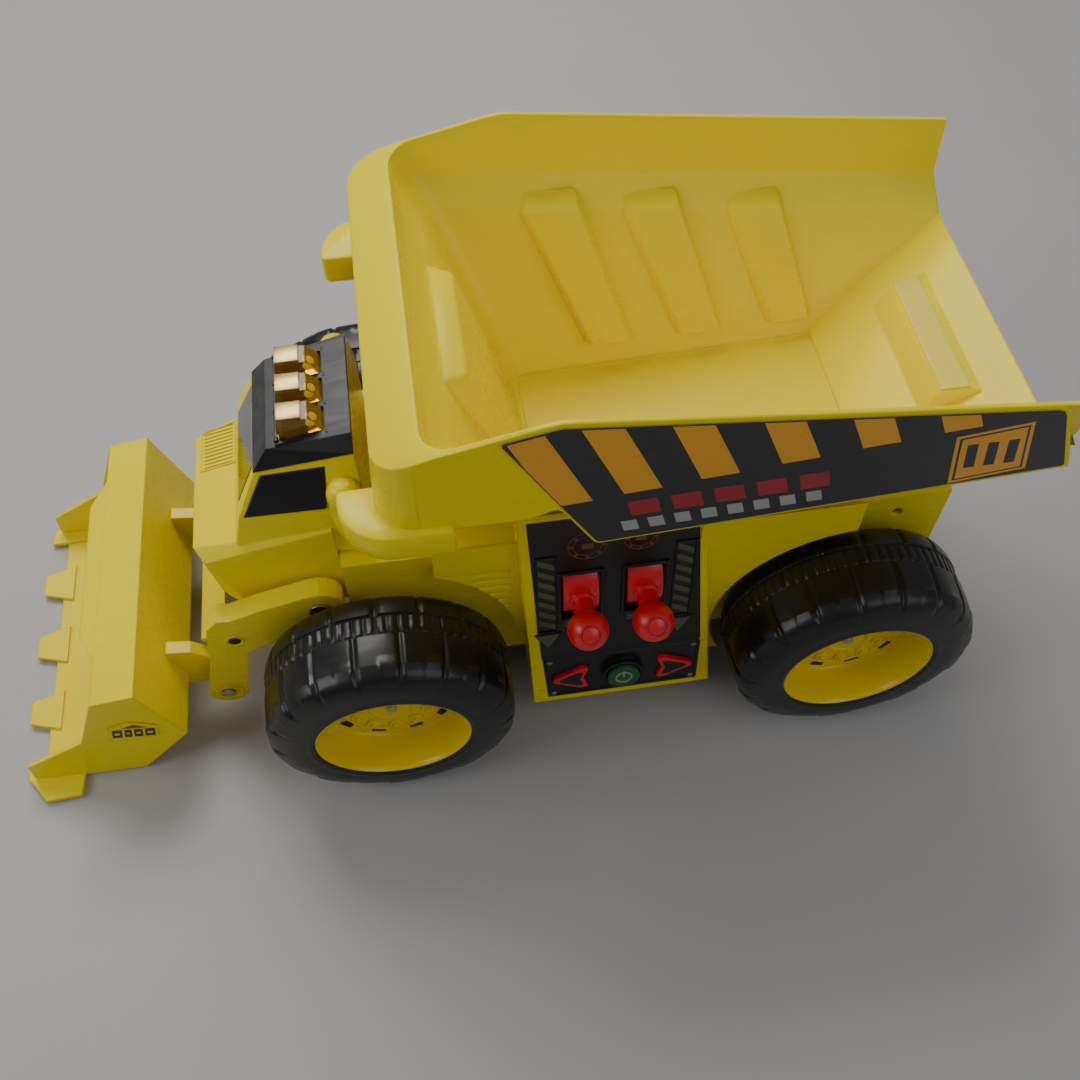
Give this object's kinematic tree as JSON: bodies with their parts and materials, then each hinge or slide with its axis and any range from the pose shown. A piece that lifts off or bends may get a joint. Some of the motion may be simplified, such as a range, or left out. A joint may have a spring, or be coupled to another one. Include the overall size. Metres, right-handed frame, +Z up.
{
  "type": "toy_vehicle",
  "caption": "Yellow toy dump truck with a tipping bed, a front loader bucket, chunky tyres and a side console with levers and buttons",
  "frame": {"origin": "bottom centre of the bounding box, on the floor below the middle of the truck", "axes": "+X forward, towards the bucket; +Y left, towards the console; +Z up"},
  "size_m": [0.4942, 0.226, 0.2539],
  "materials": {
    "yellow_plastic": "glossy injection moulding",
    "rim_plastic": "glossy injection moulding",
    "tyre_rubber": "slightly glossy blow-moulded tyre",
    "printed_decal": "printed sticker, dark field with yellow marks",
    "window_gloss": "polished",
    "amber_lens": "clear tinted moulding",
    "red_plastic": "glossy",
    "green_plastic": "fine texture",
    "white_nylon": "moulded",
    "circuit_board": "lacquered laminate",
    "cell_sleeve": "printed sleeve",
    "black_plastic": "fine satin texture",
    "steel": "plain zinc plated"
  },
  "bodies": {
    "truck": {"battery_1": "cell_sleeve", "battery_2": "cell_sleeve", "battery_3": "cell_sleeve", "battery_box": "black_plastic", "battery_door": "black_plastic", "battery_door_screw": "steel", "beacon_lens_1": "amber_lens", "beacon_lens_2": "amber_lens", "beacon_lens_3": "amber_lens", "bed_hinge_rod": "steel", "body_shell": "yellow_plastic", "button_panel": "black_plastic", "cab_roof": "black_plastic", "cab_shell": "yellow_plastic", "chassis_plate": "black_plastic", "chassis_screw_1": "steel", "chassis_screw_2": "steel", "chassis_screw_3": "steel", "chassis_screw_4": "steel", "circuit_board": "circuit_board", "drive_motor": "steel", "gearbox_case": "black_plastic", "lever_panel": "black_plastic", "lever_rod": "steel", "side_window_left": "window_gloss", "side_window_right": "window_gloss", "speaker": "steel", "speaker_cover": "black_plastic", "windshield": "window_gloss"},
    "bed": {"dump_bed": "yellow_plastic", "bed_decal_left": "printed_decal", "bed_decal_right": "printed_decal"},
    "loader": {"loader_arm_left": "yellow_plastic", "loader_arm_right": "yellow_plastic", "loader_cross_plate": "yellow_plastic", "arm_pin_left": "steel", "arm_pin_right": "steel"},
    "scoop": {"bucket": "yellow_plastic", "bucket_pin_left": "steel", "bucket_pin_right": "steel", "bucket_label_left": "printed_decal", "bucket_label_right": "printed_decal"},
    "front_wheels": {"front_axle": "steel", "front_tyre_left": "tyre_rubber", "front_tyre_right": "tyre_rubber", "front_rim_left": "rim_plastic", "front_rim_right": "rim_plastic"},
    "rear_wheels": {"rear_axle": "steel", "rear_tyre_left": "tyre_rubber", "rear_tyre_right": "tyre_rubber", "rear_rim_left": "rim_plastic", "rear_rim_right": "rim_plastic", "axle_gear": "white_nylon"},
    "pinion": {"motor_pinion": "white_nylon"},
    "front_lever": {"lever_front": "red_plastic"},
    "rear_lever": {"lever_rear": "red_plastic"},
    "forward_key": {"forward_button": "red_plastic"},
    "power_key": {"power_button": "green_plastic"},
    "reverse_key": {"reverse_button": "red_plastic"}
  },
  "joints": [
    {"name": "bed_tilt", "type": "hinge", "parent": "truck", "child": "bed", "pos_m": [-0.20545, 0, 0.112], "axis": [0, -1, 0], "range_deg": [0, 50]},
    {"name": "loader_lift", "type": "hinge", "parent": "truck", "child": "loader", "pos_m": [0.07655, 0, 0.099], "axis": [0, -1, 0], "range_deg": [0, 50]},
    {"name": "bucket_tilt", "type": "hinge", "parent": "loader", "child": "scoop", "pos_m": [0.13505, 0, 0.03], "axis": [0, -1, 0], "range_deg": [-30, 20]},
    {"name": "front_axle_spin", "type": "hinge", "parent": "truck", "child": "front_wheels", "pos_m": [0.04955, 0, 0.0602], "axis": [0, -1, 0], "continuous": true},
    {"name": "rear_axle_spin", "type": "hinge", "parent": "truck", "child": "rear_wheels", "pos_m": [-0.18045, 0, 0.0602], "axis": [0, -1, 0], "continuous": true},
    {"name": "pinion_spin", "type": "hinge", "parent": "truck", "child": "pinion", "pos_m": [-0.16045, 0, 0.0602], "axis": [0, -1, 0], "continuous": true},
    {"name": "front_lever_tilt", "type": "hinge", "parent": "truck", "child": "front_lever", "pos_m": [-0.04645, 0.05507, 0.10311], "axis": [1, 0, 0], "range_deg": [-12, 12], "stiffness_Nm_per_rad": 0.15},
    {"name": "rear_lever_tilt", "type": "hinge", "parent": "truck", "child": "rear_lever", "pos_m": [-0.07695, 0.05507, 0.10311], "axis": [1, 0, 0], "range_deg": [-12, 12], "stiffness_Nm_per_rad": 0.15},
    {"name": "forward_key_press", "type": "slide", "parent": "truck", "child": "forward_key", "axis": [0, -0.9942, -0.1071], "range_m": [0, 0.0015], "stiffness_N_per_m": 300},
    {"name": "power_key_press", "type": "slide", "parent": "truck", "child": "power_key", "axis": [0, -0.9942, -0.1071], "range_m": [0, 0.0015], "stiffness_N_per_m": 300},
    {"name": "reverse_key_press", "type": "slide", "parent": "truck", "child": "reverse_key", "axis": [0, -0.9942, -0.1071], "range_m": [0, 0.0015], "stiffness_N_per_m": 300}
  ],
  "couplings": [
    {"joint": "pinion_spin", "follows": "rear_axle_spin", "ratio": -4}
  ]
}
